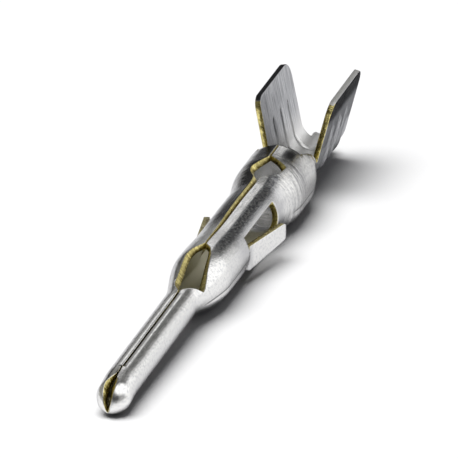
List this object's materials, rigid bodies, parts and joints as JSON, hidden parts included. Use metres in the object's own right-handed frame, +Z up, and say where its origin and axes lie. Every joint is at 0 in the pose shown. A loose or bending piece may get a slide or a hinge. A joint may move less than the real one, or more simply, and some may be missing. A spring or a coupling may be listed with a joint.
{
  "type": "crimp pin contact",
  "caption": "Stamped and rolled crimp contact: hollow pin with a split bullet nose, barrel with locking lances, collar and open crimp wings.",
  "frame": {"origin": "middle of the contact's length and width, on the flat of its underside", "axes": "+X along the contact from the nose of the pin to the wire barrel, +Z up to the seam and the crimp wings, symmetric about the plane Y = 0"},
  "size_m": [0.0248, 0.0026, 0.0029],
  "materials": {
    "plated_strip": "bright silver plating, bare brass on the cut edges"
  },
  "bodies": {
    "root": {"contact": "plated_strip"}
  },
  "joints": []
}
